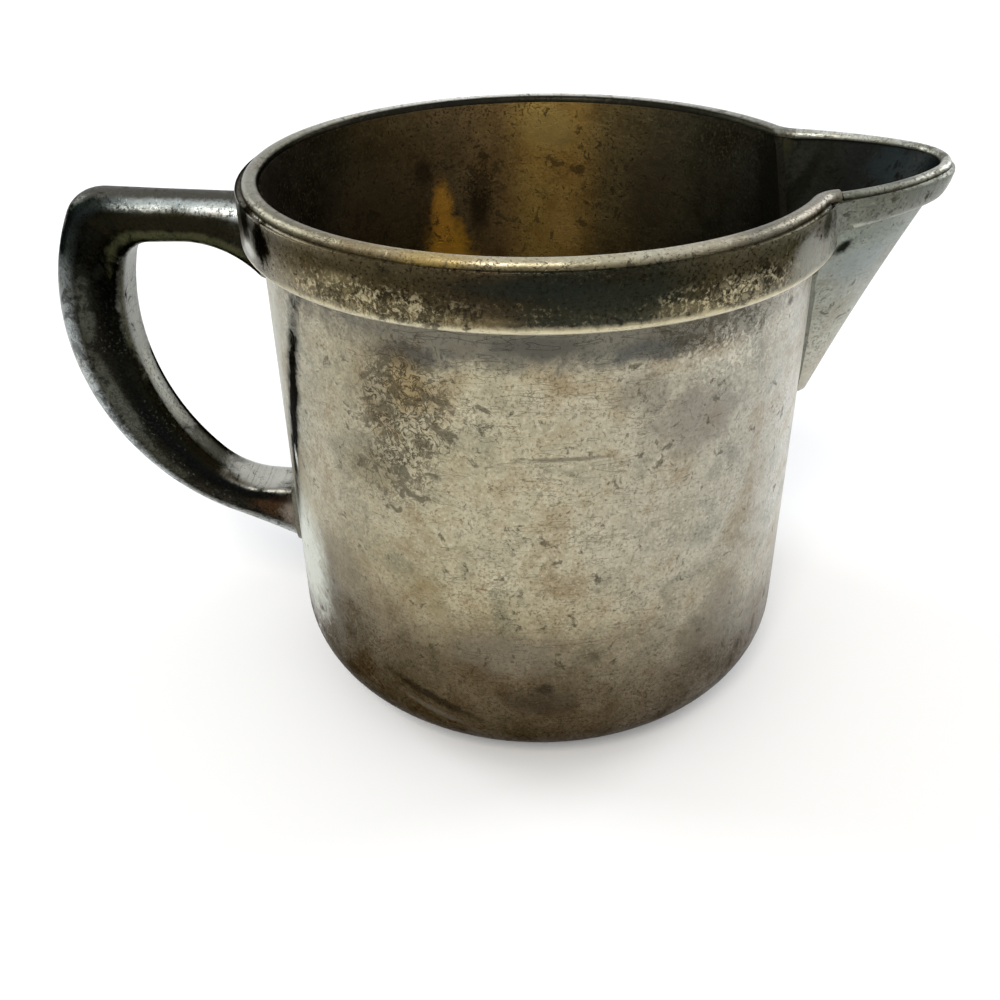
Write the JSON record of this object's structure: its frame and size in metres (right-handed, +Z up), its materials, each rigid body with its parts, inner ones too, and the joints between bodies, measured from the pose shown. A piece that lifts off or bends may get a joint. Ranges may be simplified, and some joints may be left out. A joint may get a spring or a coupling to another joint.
{
  "type": "creamer",
  "caption": "Small round metal creamer with a stepped rim collar, a folded V-shaped pouring spout and a solid loop handle.",
  "frame": {"origin": "middle of the flat base, on the table", "axes": "+Z up along the cup's axis, +X towards the spout, -X towards the handle"},
  "size_m": [0.1249, 0.0802, 0.0777],
  "materials": {
    "cup_silver": "satin, worn and tarnished silver plate",
    "rim_silver": "dark tarnished silver plate",
    "lip_silver": "rubbed bright silver plate",
    "spout_silver": "satin, tarnished silver plate",
    "handle_silver": "dark oxidised silver plate with rubbed ridges",
    "solder": "dull grey solder"
  },
  "bodies": {
    "root": {"body_cup": "cup_silver", "rim_band": "rim_silver", "rim_wire": "lip_silver", "spout_sheet": "spout_silver", "spout_band": "rim_silver", "spout_lip_wire": "lip_silver", "handle": "handle_silver", "handle_upper_solder": "solder", "handle_lower_solder": "solder", "spout_solder": "solder"}
  },
  "joints": []
}
